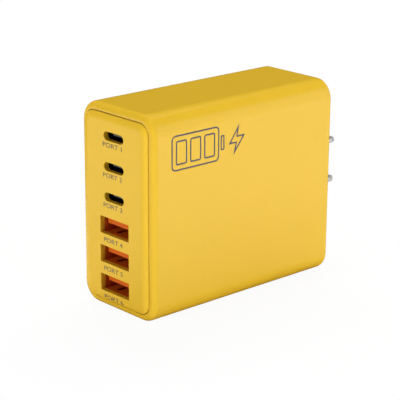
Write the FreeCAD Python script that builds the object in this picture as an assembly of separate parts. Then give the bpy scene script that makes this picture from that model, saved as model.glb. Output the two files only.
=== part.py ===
import FreeCAD, Part
import math
import os

# Six-port wall charger with two fixed mains blades, in millimetres.
# Frame: origin at the middle of the underside, +X broad right side, +Y to the wall, +Z up.
# The housing is sized from what it holds: ports set the height, boards the depth, parts the width.

# Housing walls and edges
wall = 2.1
rear_wall = 2.4
corner_radius = 5.8
front_edge_radius = 1.9
rear_edge_radius = 1.2
rim_land = 0.2

# Port plate
plate_thickness = 1.6
plate_proud = 1.2
plate_edge_radius = 1.4
plate_gap = 0.2

# Snap tabs of the plate with their hooks, two on each broad side, and the stops behind them
tab_wall = 1.0
tab_length = 4.5
tab_width = 8.0
tab_spacing = 30.0
hook_height = 0.5
hook_length = 1.6
hook_width = 6.0
hook_clearance = 0.15
stop_depth = 0.9
stop_length = 3.0

# Port row, from the underside up
type_a_count = 3
type_c_count = 3
bottom_port_margin = 8.0
type_a_pitch = 8.65
a_to_c_pitch = 8.7
type_c_pitch = 8.85
top_port_margin = 8.3

# Sockets
socket_gap = 0.1
socket_length = 11.0
socket_sheet = 0.3
socket_base = 3.0
type_a_width = 12.5
type_a_height = 5.1
type_a_lining = 0.35
type_a_tongue_width = 11.1
type_a_tongue_thickness = 1.84
type_a_tongue_drop = 0.75
type_a_tongue_setback = 0.65
type_a_contact_places = (-3.5, -1.0, 1.0, 3.5)
type_a_contact_width = 1.0
finger_slot_place = 2.5
finger_slot_width = 1.6
finger_slot_length = 5.0
finger_slot_setback = 1.4
type_c_width = 8.6
type_c_height = 2.6
type_c_tongue_width = 6.7
type_c_tongue_thickness = 0.7
type_c_tongue_setback = 0.9
type_c_contact_count = 8
type_c_contact_pitch = 0.7
type_c_contact_width = 0.3
contact_thickness = 0.1
contact_setback = 0.8

# Boards and the rails that hold the main board
port_board_thickness = 1.2
main_board_thickness = 1.6
main_board_length = 48.0
board_clearance = 0.2
board_end_gap = 0.9
rail_width = 1.2
rail_height = 1.5
rail_clearance = 0.1

# Mains blades and what holds them
blade_width = 6.35
blade_thickness = 1.5
blade_spacing = 12.7
blade_reach = 15.9
blade_tip_radius = 1.6
blade_edge_chamfer = 0.25
blade_hole_diameter = 3.2
blade_hole_reach = 11.9
blade_tab = 3.4
slot_clearance = 0.1
carrier_depth = 6.0
carrier_margin = 4.0
carrier_clearance = 0.1
frame_wall = 1.0
frame_height = 3.0
strap_thickness = 0.5
strap_foot = 3.0

# Cooling stack on both broad sides
film_gap = 0.1
film_thickness = 0.25
film_margin = 1.0
spreader_thickness = 0.8
chip_pad_thickness = 0.65
core_pad_thickness = 1.0

# Power switches on the back of the main board
chip_height = 0.9
chip_length = 8.0
chip_width = 6.0
chip_spacing = 16.0
pad_margin = 3.0

# Transformer
transformer_height = 20.85
core_length = 21.0
core_width = 11.4
core_yoke = 3.2
core_leg = 3.2
core_post = 7.0
core_clearance = 0.3
bobbin_wall = 0.8
bobbin_flange = 1.0
winding_clearance = 0.3
winding_chamfer = 1.0

# Other parts on the main board
part_spacing = 1.5
block_chamfer = 0.6
bulk_diameter = 10.0
bulk_headroom = 2.5
output_length = 7.3
output_width = 4.3
output_height = 3.1
choke_size = 10.0
choke_leg = 2.4
choke_height = 4.0
choke_turn = 0.8
choke_clearance = 0.3
filter_length = 11.5
filter_width = 5.0
filter_height = 11.0
bridge_length = 9.0
bridge_width = 5.0
bridge_height = 2.6
fuse_length = 8.4
fuse_width = 4.2
fuse_height = 7.6
safety_length = 7.5
safety_width = 3.6
safety_height = 8.0

# Overshoot of cutting tools past the face they open, and how close counts as touching
overshoot = 1.0
touch = 1e-4

# Port heights, numbered from the top down
type_a_heights = [bottom_port_margin + type_a_pitch * i for i in range(type_a_count)][::-1]
type_c_base = type_a_heights[0] + a_to_c_pitch
type_c_heights = [type_c_base + type_c_pitch * i for i in range(type_c_count)][::-1]

# Housing size
housing_height = type_c_heights[0] + top_port_margin
left_stack = film_gap + film_thickness + spreader_thickness + chip_pad_thickness + chip_height
right_stack = core_pad_thickness + spreader_thickness + film_thickness + film_gap
cavity_width = left_stack + main_board_thickness + transformer_height + right_stack
cavity_height = housing_height - 2 * wall
cavity_radius = corner_radius - wall
housing_width = cavity_width + 2 * wall
plate_seat = plate_thickness - plate_proud
socket_depth = socket_gap + socket_length + port_board_thickness
housing_depth = (plate_seat + socket_depth + main_board_length + board_end_gap
                 + carrier_depth + rear_wall)
mid_z = housing_height / 2

# Stations along the depth, from the ports to the wall
y_front = -housing_depth / 2
y_plate_front = y_front - plate_proud
y_plate_rear = y_plate_front + plate_thickness
y_tab_end = y_plate_rear + tab_length
y_mouth = y_plate_rear + socket_gap
y_port_board = y_mouth + socket_length
y_board = y_port_board + port_board_thickness
y_board_end = y_board + main_board_length
y_carrier = y_board_end + board_end_gap
y_inner = y_carrier + carrier_depth
y_rear = y_inner + rear_wall
y_blade = y_carrier - blade_tab
y_tip = y_rear + blade_reach
y_board_mid = (y_board + y_board_end) / 2

# Stations across the width, from the left wall to the right wall
x_left_film = -cavity_width / 2 + film_gap
x_left_spreader = x_left_film + film_thickness
x_left_pad = x_left_spreader + spreader_thickness
x_chip = x_left_pad + chip_pad_thickness
x_board = x_chip + chip_height
x_face = x_board + main_board_thickness
x_right_pad = x_face + transformer_height
x_right_spreader = x_right_pad + core_pad_thickness
x_right_film = x_right_spreader + spreader_thickness

# Plate outline
plate_width = cavity_width - 2 * plate_gap
plate_height = cavity_height - 2 * plate_gap
plate_radius = cavity_radius - plate_gap

# Sizes of the transformer and the choke that follow from their cores
flange_length = core_length - 2 * core_leg - 2 * core_clearance
bore_length = core_post + 2 * core_clearance
bore_width = core_width + 2 * core_clearance
winding_depth = (flange_length - bore_length) / 2 - bobbin_wall - winding_clearance
bobbin_width = bore_width + 2 * (bobbin_wall + winding_depth + winding_clearance)
choke_outer = choke_size + 2 * choke_turn

# Rows of parts on the main board, from the underside up
upper_row = max(bobbin_width, choke_outer + part_spacing + filter_width)
middle_row = max(bridge_width, fuse_width, safety_width)
lower_row = max(bulk_diameter, output_width)
rows_height = lower_row + middle_row + upper_row + 2 * part_spacing
z_lower = mid_z - rows_height / 2 + lower_row / 2
z_middle = z_lower + (lower_row + middle_row) / 2 + part_spacing
z_upper = z_middle + middle_row / 2 + part_spacing
z_core = z_upper + upper_row / 2
top_row = [core_length, max(choke_size, filter_length)]

# The blade carrier and the heights of the blades
carrier_width = blade_width + 2 * carrier_margin
carrier_height = blade_spacing + blade_thickness + 2 * carrier_margin
blade_heights = {"upper": mid_z + blade_spacing / 2, "lower": mid_z - blade_spacing / 2}


def box(x0, x1, y0, y1, z0, z1):
    """A box between two corners."""
    return Part.makeBox(x1 - x0, y1 - y0, z1 - z0, FreeCAD.Vector(x0, y0, z0))


def centred_box(width, height, y0, y1, z):
    """A box centred on x = 0 and on a height, drawn out along Y."""
    return box(-width / 2, width / 2, y0, y1, z - height / 2, z + height / 2)


def rounded_prism(width, height, radius, y0, y1, z_mid):
    """A rounded rectangle across X and Z, centred on x = 0, drawn out along Y."""
    edges = []
    first = None
    last = None
    for quarter, (side_x, side_z) in enumerate(((1, 1), (-1, 1), (-1, -1), (1, -1))):
        centre_x = side_x * (width / 2 - radius)
        centre_z = z_mid + side_z * (height / 2 - radius)
        points = []
        for eighth in (0, 1, 2):
            angle = math.pi / 4 * (2 * quarter + eighth)
            x = centre_x + radius * math.cos(angle)
            z = centre_z + radius * math.sin(angle)
            points.append(FreeCAD.Vector(x, y0, z))
        if last is not None and last.distanceToPoint(points[0]) > touch:
            edges.append(Part.makeLine(last, points[0]))
        edges.append(Part.Arc(*points).toShape())
        first = first or points[0]
        last = points[2]
    if last.distanceToPoint(first) > touch:
        edges.append(Part.makeLine(last, first))
    return Part.Face(Part.Wire(edges)).extrude(FreeCAD.Vector(0, y1 - y0, 0))


def edges_in_plane(shape, y):
    """The edges of a shape that lie in one plane across Y."""
    return [e for e in shape.Edges if abs(e.BoundBox.YMin - y) < touch and abs(e.BoundBox.YMax - y) < touch]


def board_block(length, width, low, high, y, z):
    """A block over a place on the main board, between two heights above its face."""
    return box(x_face + low, x_face + high, y - length / 2, y + length / 2, z - width / 2, z + width / 2)


def chamfered_block(length, width, low, high, chamfer, y, z):
    """A block over a place on the main board with its upright edges chamfered."""
    block = board_block(length, width, low, high, y, z)
    upright = [e for e in block.Edges if e.BoundBox.XLength > high - low - touch]
    return block.makeChamfer(chamfer, upright)


def spread_row(lengths):
    """The middles of a row of parts, spaced evenly and centred along the main board."""
    start = y_board_mid - (sum(lengths) + part_spacing * (len(lengths) - 1)) / 2
    middles = []
    for length in lengths:
        middles.append(start + length / 2)
        start += length + part_spacing
    return middles


def cavity_half_height(x):
    """Half the height of the housing's cavity at a distance from its middle plane."""
    into_corner = max(0.0, abs(x) - (cavity_width / 2 - cavity_radius))
    return cavity_height / 2 - cavity_radius + math.sqrt(cavity_radius ** 2 - into_corner ** 2)


def tab_places():
    """The side, left (-1) or right (1), and the height of each snap tab."""
    return [(side, mid_z + end * tab_spacing / 2) for side in (-1, 1) for end in (-1, 1)]


def side_box(side, x_inner, x_outer, y0, y1, z, width):
    """A box against the left (-1) or right (1) wall, centred on a height."""
    x0, x1 = sorted((side * x_inner, side * x_outer))
    return box(x0, x1, y0, y1, z - width / 2, z + width / 2)


def make_main_shell():
    """The housing: a deep rounded cup with board rails, plate stops and a seat for the blade carrier."""
    outer = rounded_prism(housing_width, housing_height, corner_radius, y_front, y_rear, mid_z)
    outer = outer.makeFillet(min(front_edge_radius, wall - rim_land), edges_in_plane(outer, y_front))
    outer = outer.makeFillet(rear_edge_radius, edges_in_plane(outer, y_rear))
    cavity = rounded_prism(cavity_width, cavity_height, cavity_radius, y_front - overshoot, y_inner, mid_z)
    shell = outer.cut(cavity)
    shell = shell.fuse([rib.common(outer) for rib in make_rails() + make_stops()])
    shell = shell.fuse(make_carrier_seat())
    for z in blade_heights.values():
        shell = shell.cut(centred_box(blade_width + 2 * slot_clearance, blade_thickness + 2 * slot_clearance,
                                      y_inner - overshoot, y_rear + overshoot, z))
    for side, z in tab_places():
        shell = shell.cut(side_box(side, plate_width / 2, plate_width / 2 + hook_height + hook_clearance,
                                   y_tab_end - hook_length - 2 * hook_clearance, y_tab_end,
                                   z, hook_width + 2 * hook_clearance))
    return shell.removeSplitter()


def make_rails():
    """The ribs on the floor and the roof of the housing that hold the main board's edges."""
    rails = []
    for x0 in (x_board - rail_clearance - rail_width, x_face + rail_clearance):
        for z0 in (0, housing_height - wall - rail_height):
            rails.append(box(x0, x0 + rail_width, y_board, y_inner, z0, z0 + wall + rail_height))
    return rails


def make_stops():
    """The ribs on the side walls that stop the plate's tabs."""
    return [side_box(side, cavity_width / 2 - stop_depth, housing_width / 2,
                     y_tab_end, y_tab_end + stop_length, z, tab_width) for side, z in tab_places()]


def make_carrier_seat():
    """The frame inside the rear wall that holds the blade carrier."""
    width = carrier_width + 2 * carrier_clearance
    height = carrier_height + 2 * carrier_clearance
    y0 = y_inner - frame_height
    frame = centred_box(width + 2 * frame_wall, height + 2 * frame_wall, y0, y_inner, mid_z)
    return frame.cut(centred_box(width, height, y0, y_inner, mid_z))


def make_port_plate():
    """The proud plate with its pillowed edge, socket openings and snap tabs."""
    plate = rounded_prism(plate_width, plate_height, plate_radius, y_plate_front, y_plate_rear, mid_z)
    edge_round = min(plate_edge_radius, plate_thickness - rim_land)
    plate = plate.makeFillet(edge_round, edges_in_plane(plate, y_plate_front))
    y0 = y_plate_front - overshoot
    y1 = y_plate_rear + overshoot
    for z in type_a_heights:
        plate = plate.cut(centred_box(type_a_width, type_a_height, y0, y1, z))
    for z in type_c_heights:
        plate = plate.cut(rounded_prism(type_c_width, type_c_height, type_c_height / 2, y0, y1, z))
    for side, z in tab_places():
        plate = plate.fuse(make_snap_tab(side, z))
    return plate.removeSplitter()


def make_snap_tab(side, z):
    """A tab behind the plate's edge with a wedge-shaped hook on its outer face."""
    tab = side_box(side, plate_width / 2 - tab_wall, plate_width / 2, y_plate_rear, y_tab_end, z, tab_width)
    x0 = side * plate_width / 2
    x1 = side * (plate_width / 2 + hook_height)
    y1 = y_tab_end - hook_clearance
    y0 = y1 - hook_length
    corners = [FreeCAD.Vector(x, y, z - hook_width / 2) for x, y in ((x0, y0), (x1, y0), (x0, y1))]
    wedge = Part.Face(Part.makePolygon(corners + corners[:1])).extrude(FreeCAD.Vector(0, 0, hook_width))
    return tab.fuse(wedge)


def make_type_a_shell(z):
    """The folded steel sleeve of a rectangular socket."""
    width = type_a_width + 2 * type_a_lining
    height = type_a_height + 2 * type_a_lining
    sleeve = centred_box(width + 2 * socket_sheet, height + 2 * socket_sheet, y_mouth, y_port_board, z)
    return sleeve.cut(centred_box(width, height, y_mouth - overshoot, y_port_board + overshoot, z))


def make_type_a_insulator(z):
    """The moulded lining of a rectangular socket, with its base, tongue and finger slots."""
    y_base = y_port_board - socket_base
    body = centred_box(type_a_width + 2 * type_a_lining, type_a_height + 2 * type_a_lining,
                       y_mouth, y_port_board, z)
    body = body.cut(centred_box(type_a_width, type_a_height, y_mouth - overshoot, y_base, z))
    z_tongue = z + (type_a_height - type_a_tongue_thickness) / 2 - type_a_tongue_drop
    body = body.fuse(centred_box(type_a_tongue_width, type_a_tongue_thickness,
                                 y_mouth + type_a_tongue_setback, y_base, z_tongue))
    y_slot = y_mouth + finger_slot_setback
    y_slot_end = min(y_slot + finger_slot_length, y_base)
    z_wall = z - type_a_height / 2
    for x in (-finger_slot_place, finger_slot_place):
        body = body.cut(box(x - finger_slot_width / 2, x + finger_slot_width / 2,
                            y_slot, y_slot_end, z_wall - type_a_lining, z_wall))
    return body.removeSplitter()


def make_type_a_contacts(z):
    """The contact strips under the tongue of a rectangular socket."""
    z_top = z + type_a_height / 2 - type_a_tongue_drop - type_a_tongue_thickness
    y0 = y_mouth + type_a_tongue_setback + contact_setback
    half = type_a_contact_width / 2
    strips = [box(x - half, x + half, y0, y_port_board - socket_base, z_top - contact_thickness, z_top)
              for x in type_a_contact_places]
    return Part.makeCompound(strips)


def make_type_c_shell(z):
    """The drawn steel sleeve of a round-ended socket."""
    outer_height = type_c_height + 2 * socket_sheet
    sleeve = rounded_prism(type_c_width + 2 * socket_sheet, outer_height, outer_height / 2,
                           y_mouth, y_port_board, z)
    return sleeve.cut(rounded_prism(type_c_width, type_c_height, type_c_height / 2,
                                    y_mouth - overshoot, y_port_board + overshoot, z))


def make_type_c_insulator(z):
    """The base and the thin middle tongue of a round-ended socket."""
    y_base = y_port_board - socket_base
    base = rounded_prism(type_c_width, type_c_height, type_c_height / 2, y_base, y_port_board, z)
    tongue = centred_box(type_c_tongue_width, type_c_tongue_thickness,
                         y_mouth + type_c_tongue_setback, y_base, z)
    return base.fuse(tongue).removeSplitter()


def make_type_c_contacts(z):
    """The two rows of contact strips on the faces of a round-ended socket's tongue."""
    y0 = y_mouth + type_c_tongue_setback + contact_setback
    y1 = y_port_board - socket_base
    half = type_c_contact_width / 2
    strips = []
    for i in range(type_c_contact_count):
        x = type_c_contact_pitch * (i - (type_c_contact_count - 1) / 2)
        for z0 in (z + type_c_tongue_thickness / 2, z - type_c_tongue_thickness / 2 - contact_thickness):
            strips.append(box(x - half, x + half, y0, y1, z0, z0 + contact_thickness))
    return Part.makeCompound(strips)


def make_port_board():
    """The upright board behind the sockets, narrow enough to pass the plate stops."""
    board = centred_box(cavity_width - 2 * (stop_depth + board_clearance),
                        cavity_height - 2 * board_clearance, y_port_board, y_board, mid_z)
    corners = [e for e in board.Edges if e.BoundBox.YLength > port_board_thickness - touch]
    return board.makeChamfer(cavity_radius, corners)


def make_main_board():
    """The power board between its rails."""
    half_height = cavity_half_height(x_board) - board_clearance
    return box(x_board, x_face, y_board, y_board_end, mid_z - half_height, mid_z + half_height)


def make_blade_carrier():
    """The block behind the rear wall, moulded round both blades."""
    block = centred_box(carrier_width, carrier_height, y_carrier, y_inner, mid_z)
    for z in blade_heights.values():
        block = block.cut(make_blade(z))
    return block


def make_blade(z):
    """A flat mains blade with a rounded tip, coined edges and the usual hole."""
    blade = centred_box(blade_width, blade_thickness, y_blade, y_tip, z)
    tip_corners = [e for e in edges_in_plane(blade, y_tip) if e.BoundBox.ZLength > blade_thickness - touch]
    blade = blade.makeFillet(blade_tip_radius, tip_corners)
    rim = [e for e in blade.Edges if e.BoundBox.ZLength < touch and e.BoundBox.YMax > y_blade + touch]
    blade = blade.makeChamfer(blade_edge_chamfer, rim)
    hole_foot = FreeCAD.Vector(0, y_rear + blade_hole_reach, z - blade_thickness / 2 - overshoot)
    return blade.cut(Part.makeCylinder(blade_hole_diameter / 2, blade_thickness + 2 * overshoot, hole_foot))


def make_contact_strap(z, turn):
    """A bent strap from the outer face of a blade's tab to the main board, turned up (1) or down (-1)."""
    z0 = z + turn * blade_thickness / 2
    z1 = z0 + turn * strap_thickness
    z2 = z0 + turn * strap_foot
    x_foot = x_face + strap_thickness
    x_end = blade_width / 2 - blade_edge_chamfer
    outline = ((x_face, z0), (x_end, z0), (x_end, z1), (x_foot, z1), (x_foot, z2), (x_face, z2))
    corners = [FreeCAD.Vector(x, y_blade, height) for x, height in outline]
    wire = Part.makePolygon(corners + corners[:1])
    return Part.Face(wire).extrude(FreeCAD.Vector(0, y_board_end - y_blade, 0))


def make_core_half(y, z, is_upper):
    """One half of the transformer's core: a yoke with two outer legs and half of the middle post."""
    middle = transformer_height / 2
    foot = middle if is_upper else 0
    low = middle if is_upper else core_yoke
    high = low + middle - core_yoke
    window = board_block(core_length - 2 * core_leg, core_width, low, high, y, z)
    window = window.cut(board_block(core_post, core_width, low, high, y, z))
    return board_block(core_length, core_width, foot, foot + middle, y, z).cut(window)


def make_bobbin(y, z):
    """The transformer's bobbin: a tube between two flanges, on two pin rails."""
    low = core_yoke
    high = transformer_height - core_yoke
    rail = (bobbin_width - bore_width) / 2
    bobbin = board_block(bore_length + 2 * bobbin_wall, bore_width + 2 * bobbin_wall, low, high, y, z)
    for flange in (low, high - bobbin_flange):
        bobbin = bobbin.fuse(board_block(flange_length, bobbin_width, flange, flange + bobbin_flange, y, z))
    for z_rail in (z - (bobbin_width - rail) / 2, z + (bobbin_width - rail) / 2):
        bobbin = bobbin.fuse(board_block(flange_length, rail, 0, low, y, z_rail))
    bobbin = bobbin.cut(board_block(bore_length, bore_width, low, high, y, z))
    return bobbin.removeSplitter()


def make_winding(y, z):
    """The wound and taped coil between the bobbin's flanges."""
    low = core_yoke + bobbin_flange
    high = transformer_height - core_yoke - bobbin_flange
    tube_length = bore_length + 2 * bobbin_wall
    tube_width = bore_width + 2 * bobbin_wall
    coil = chamfered_block(tube_length + 2 * winding_depth, tube_width + 2 * winding_depth, low, high,
                           winding_chamfer, y, z)
    return coil.cut(board_block(tube_length, tube_width, low, high, y, z))


def make_bulk_capacitor(y, z):
    """A tall capacitor can that stands on the board."""
    foot = FreeCAD.Vector(x_face, y, z)
    height = transformer_height - bulk_headroom
    return Part.makeCylinder(bulk_diameter / 2, height, foot, FreeCAD.Vector(1, 0, 0))


def make_choke_core(y, z):
    """The choke's square ring core, held off the board by its windings."""
    low = choke_turn
    high = choke_turn + choke_height
    window = choke_size - 2 * choke_leg
    return board_block(choke_size, choke_size, low, high, y, z).cut(
        board_block(window, window, low, high, y, z))


def make_choke_windings(y, z):
    """The choke's two windings, each a sleeve round one leg of the ring."""
    length = choke_size - 2 * (choke_leg + choke_clearance)
    core = make_choke_core(y, z)
    sleeves = []
    for side in (-1, 1):
        z_leg = z + side * (choke_size - choke_leg) / 2
        sleeve = board_block(length, choke_leg + 2 * choke_turn, 0, choke_height + 2 * choke_turn, y, z_leg)
        sleeves.append(sleeve.cut(core))
    return Part.makeCompound(sleeves)


def make_chip(y):
    """A flat power switch on the back of the main board."""
    return box(x_chip, x_board, y - chip_length / 2, y + chip_length / 2,
               mid_z - chip_width / 2, mid_z + chip_width / 2)


def make_sheet(x, thickness, length, height):
    """A flat sheet across the broad side, centred on the main board."""
    return box(x, x + thickness, y_board_mid - length / 2, y_board_mid + length / 2,
               mid_z - height / 2, mid_z + height / 2)


def make_cooling():
    """Film, spreader and pad on the left and on the right, within the flat of the side walls."""
    film_length = main_board_length - 2 * film_margin
    film_height = housing_height - 2 * corner_radius
    plate_length = film_length - 2 * film_margin
    plate_span = film_height - 2 * film_margin
    pad_length = chip_spacing + chip_length + 2 * pad_margin
    pad_height = chip_width + 2 * pad_margin
    y_core = spread_row(top_row)[0]
    core_pad = board_block(core_length, core_width, transformer_height,
                           transformer_height + core_pad_thickness, y_core, z_core)
    return {
        "insulation_film_left": make_sheet(x_left_film, film_thickness, film_length, film_height),
        "heat_spreader_left": make_sheet(x_left_spreader, spreader_thickness, plate_length, plate_span),
        "thermal_pad_left": make_sheet(x_left_pad, chip_pad_thickness, pad_length, pad_height),
        "thermal_pad_right": core_pad,
        "heat_spreader_right": make_sheet(x_right_spreader, spreader_thickness, plate_length, plate_span),
        "insulation_film_right": make_sheet(x_right_film, film_thickness, film_length, film_height),
    }


def make_power_parts():
    """Everything that the main board carries."""
    y_core, y_filter = spread_row(top_row)
    z_choke = z_upper + choke_outer / 2
    z_filter = z_upper + choke_outer + part_spacing + filter_width / 2
    y_bridge, y_fuse, y_safety = spread_row([bridge_length, fuse_length, safety_length])
    y_output_1, y_output_2, y_bulk_1, y_bulk_2 = spread_row([output_length] * 2 + [bulk_diameter] * 2)
    parts = {
        "transformer_core_lower": make_core_half(y_core, z_core, False),
        "transformer_core_upper": make_core_half(y_core, z_core, True),
        "transformer_bobbin": make_bobbin(y_core, z_core),
        "transformer_winding": make_winding(y_core, z_core),
        "choke_core": make_choke_core(y_filter, z_choke),
        "choke_windings": make_choke_windings(y_filter, z_choke),
        "bulk_capacitor_1": make_bulk_capacitor(y_bulk_1, z_lower),
        "bulk_capacitor_2": make_bulk_capacitor(y_bulk_2, z_lower),
        "power_switch_1": make_chip(y_board_mid - chip_spacing / 2),
        "power_switch_2": make_chip(y_board_mid + chip_spacing / 2),
    }
    blocks = {
        "filter_capacitor": (filter_length, filter_width, filter_height, y_filter, z_filter),
        "bridge_rectifier": (bridge_length, bridge_width, bridge_height, y_bridge, z_middle),
        "fuse": (fuse_length, fuse_width, fuse_height, y_fuse, z_middle),
        "safety_capacitor": (safety_length, safety_width, safety_height, y_safety, z_middle),
        "output_capacitor_1": (output_length, output_width, output_height, y_output_1, z_lower),
        "output_capacitor_2": (output_length, output_width, output_height, y_output_2, z_lower),
    }
    for name, (length, width, height, y, z) in blocks.items():
        parts[name] = chamfered_block(length, width, 0, height, block_chamfer, y, z)
    return parts


def make_sockets():
    """The sockets, numbered from the top of the port row down."""
    sockets = {}
    for number, z in enumerate(type_c_heights, start=1):
        sockets[f"type_c_shell_{number}"] = make_type_c_shell(z)
        sockets[f"type_c_insulator_{number}"] = make_type_c_insulator(z)
        sockets[f"type_c_contacts_{number}"] = make_type_c_contacts(z)
    for number, z in enumerate(type_a_heights, start=1):
        sockets[f"type_a_shell_{number}"] = make_type_a_shell(z)
        sockets[f"type_a_insulator_{number}"] = make_type_a_insulator(z)
        sockets[f"type_a_contacts_{number}"] = make_type_a_contacts(z)
    return sockets


def make_plug():
    """The two blades with their carrier and the straps to the main board."""
    plug = {"blade_carrier": make_blade_carrier()}
    for name, turn in (("upper", 1), ("lower", -1)):
        plug[f"blade_{name}"] = make_blade(blade_heights[name])
        plug[f"contact_strap_{name}"] = make_contact_strap(blade_heights[name], turn)
    return plug


def main():
    """Build every piece and write one file for each."""
    pieces = {
        "main_shell": make_main_shell(),
        "port_plate": make_port_plate(),
        "port_board": make_port_board(),
        "main_board": make_main_board(),
    }
    pieces.update(make_plug())
    pieces.update(make_sockets())
    pieces.update(make_power_parts())
    pieces.update(make_cooling())
    os.makedirs("parts", exist_ok=True)
    for name, shape in pieces.items():
        shape.exportStep(os.path.join("parts", name + ".step"))


main()
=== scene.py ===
"""The looks of a six-port wall charger: mouldings, finishes, printed marks, studio and camera."""
import logging
import math
from dataclasses import dataclass, field
from enum import Enum
from typing import Protocol

import bmesh
import bpy
from bmesh.types import BMEdge, BMFace, BMVert
from bpy.types import ID, Material, Mesh, Node, NodeSocket, NodeTree, Object
from mathutils import Matrix, Vector


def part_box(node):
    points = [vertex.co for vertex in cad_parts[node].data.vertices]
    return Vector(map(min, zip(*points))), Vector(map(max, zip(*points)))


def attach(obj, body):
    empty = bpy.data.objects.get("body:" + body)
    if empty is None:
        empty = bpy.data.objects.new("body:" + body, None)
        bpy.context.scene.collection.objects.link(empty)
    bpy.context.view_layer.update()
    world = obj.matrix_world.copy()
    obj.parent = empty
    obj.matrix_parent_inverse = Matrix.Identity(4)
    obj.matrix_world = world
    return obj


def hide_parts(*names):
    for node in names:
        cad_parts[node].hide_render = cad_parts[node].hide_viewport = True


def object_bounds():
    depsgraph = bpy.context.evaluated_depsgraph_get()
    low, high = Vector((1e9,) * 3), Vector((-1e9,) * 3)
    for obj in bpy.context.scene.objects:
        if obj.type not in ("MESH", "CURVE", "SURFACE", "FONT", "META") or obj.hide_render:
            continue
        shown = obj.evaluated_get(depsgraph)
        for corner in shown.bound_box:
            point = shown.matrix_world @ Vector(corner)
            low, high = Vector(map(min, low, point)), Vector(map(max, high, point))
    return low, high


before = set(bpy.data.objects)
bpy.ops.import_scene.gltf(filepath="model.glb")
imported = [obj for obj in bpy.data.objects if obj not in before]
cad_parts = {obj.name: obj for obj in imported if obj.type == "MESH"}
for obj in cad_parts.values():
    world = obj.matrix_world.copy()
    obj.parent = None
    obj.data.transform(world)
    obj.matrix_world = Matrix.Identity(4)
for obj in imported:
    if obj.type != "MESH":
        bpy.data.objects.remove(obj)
CAD_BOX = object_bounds()

MM = 0.001
MICRON = 0.000001
BODY = "root"
RIGHT_ANGLE = 90.0
WHITE = (1.0, 1.0, 1.0, 1.0)
log = logging.getLogger("charger")

Colour = tuple[float, float, float]
Pair = tuple[float, float]


class Slot(Enum):
    """The record's material slots."""

    SHELL = "shell_yellow"
    PLATE = "plate_yellow"
    STEEL = "socket_steel"
    ORANGE = "socket_orange"
    BLACK = "socket_black"
    GOLD = "contact_gold"
    BLADE = "blade_metal"
    CARRIER = "carrier_black"
    COPPER = "strap_copper"
    BOARD = "board_green"
    FERRITE = "core_ferrite"
    TAPE = "winding_tape"
    FILTER_BOX = "filter_box"
    RESIN = "safety_blue"
    SLEEVE = "can_sleeve"
    ALUMINIUM = "can_metal"
    PAD = "pad_grey"
    FILM = "film_amber"


class Axis(Enum):
    """The direction that a grain or a row of turns follows."""

    X = 0
    Y = 1
    Z = 2


class Join(Enum):
    """The ways to combine two solids."""

    CUT = "DIFFERENCE"
    FUSE = "UNION"


def direction_from(azimuth: float, elevation: float) -> Vector:
    """The direction towards a place round the charger.

    Args:
        azimuth: Degrees round the upright axis, 0 in front of the ports and 90 at the broad right side.
        elevation: Degrees above the horizon.

    Returns:
        The unit vector that points there.
    """
    turn = math.radians(azimuth)
    rise = math.radians(elevation)
    return Vector((math.sin(turn) * math.cos(rise), -math.cos(turn) * math.cos(rise), math.sin(rise)))


def linked(name: str, data: ID) -> Object:
    """Put a mesh, a curve, a lamp or a camera into the scene.

    Args:
        name: The object's name.
        data: What the object holds.

    Returns:
        The object.
    """
    thing = bpy.data.objects.new(name, data)
    bpy.context.scene.collection.objects.link(thing)
    return thing


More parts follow.
